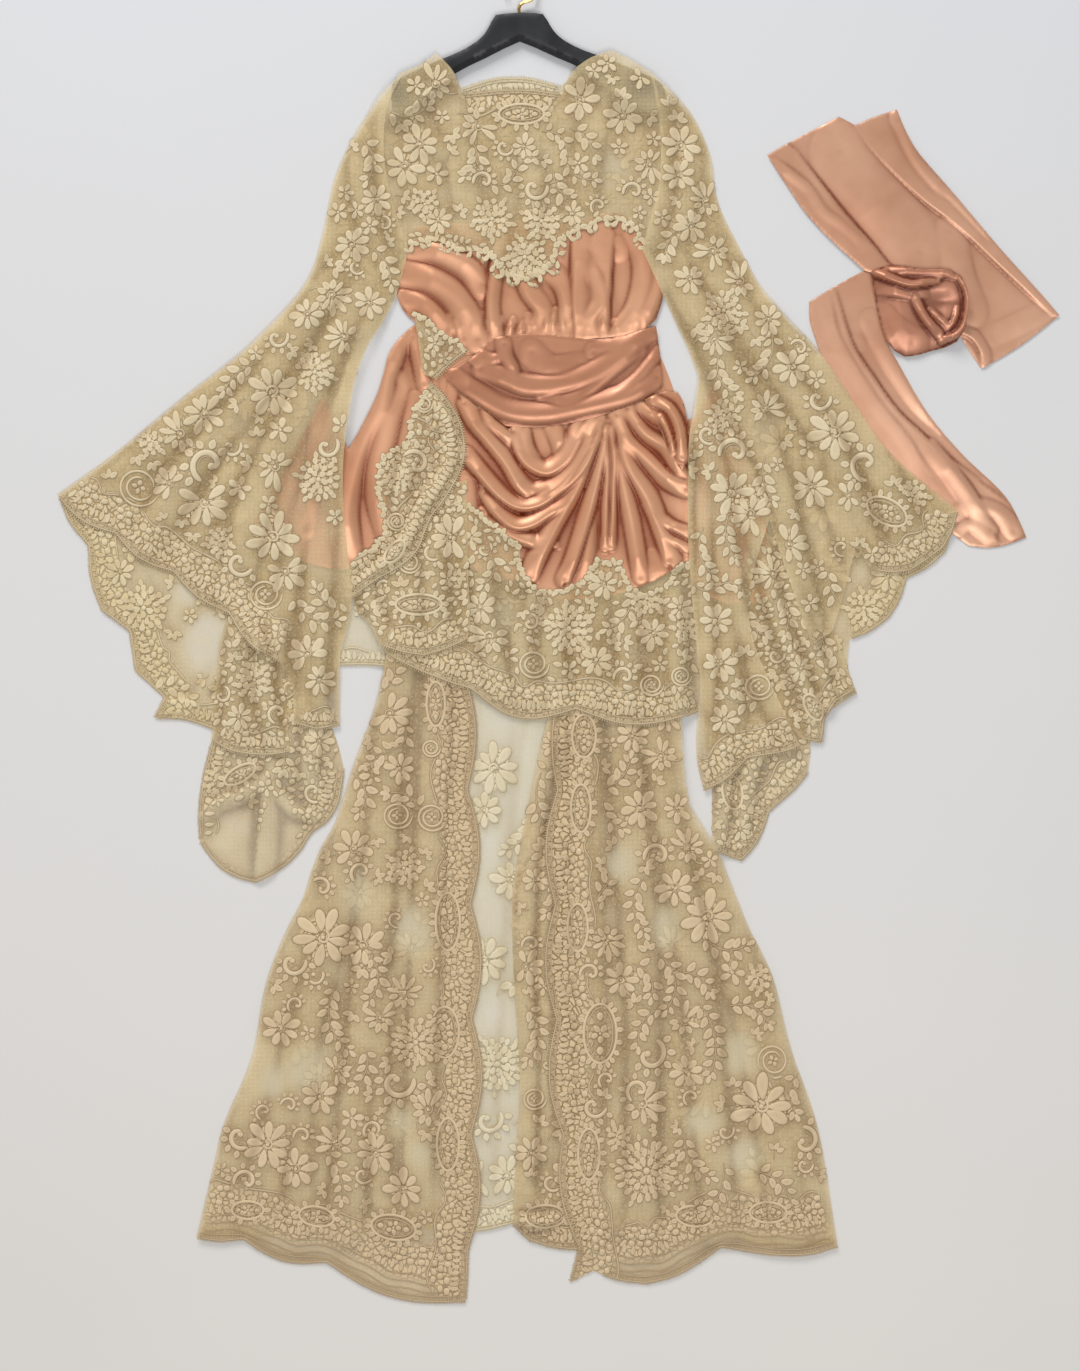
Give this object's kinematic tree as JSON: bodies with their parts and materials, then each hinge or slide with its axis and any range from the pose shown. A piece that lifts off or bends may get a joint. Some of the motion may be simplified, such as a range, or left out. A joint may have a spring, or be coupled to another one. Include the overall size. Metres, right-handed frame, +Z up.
{
  "type": "embroidered lace maxi dress laid flat on a hanger, with its sash",
  "caption": "Floor-length corded lace and satin dress with wide bell sleeves, laid flat on a hanger beside its loose satin sash.",
  "frame": {"origin": "middle of the flat underside's bounding box, on the surface the garment lies on", "axes": "+Y from the hem towards the neck and hanger hook, +X towards the sash, +Z up out of the surface"},
  "size_m": [1.252, 1.668, 0.0278],
  "materials": {
    "lace": "corded embroidered lace on fine net, matte",
    "satin": "peach satin with a soft gloss",
    "hanger": "black moulded plastic",
    "hook": "brass-coloured wire"
  },
  "bodies": {
    "root": {"skirt_back": "lace", "peplum_back": "lace", "yoke_back": "lace", "sleeve_left_back": "lace", "sleeve_right_back": "lace", "sleeve_left_tail": "lace", "sleeve_right_tail": "lace", "sleeve_left_fold": "lace", "sleeve_right_strip": "lace", "skirt_front_left": "lace", "skirt_front_underfold": "lace", "skirt_front_right": "lace", "peplum_front": "lace", "frill_lower": "lace", "frill_border": "lace", "frill_corner": "lace", "yoke_front": "lace", "sleeve_left_front": "lace", "sleeve_right_front": "lace", "sash_lower": "satin", "sash_upper": "satin", "sash_knot": "satin", "overskirt_back": "satin", "bodice_back": "satin", "satin_side_left": "satin", "satin_side_right": "satin", "satin_drape": "satin", "bodice_front": "satin", "waist_wrap": "satin", "hip_loop": "satin", "hanger_body": "hanger", "hanger_hook": "hook"}
  },
  "joints": []
}
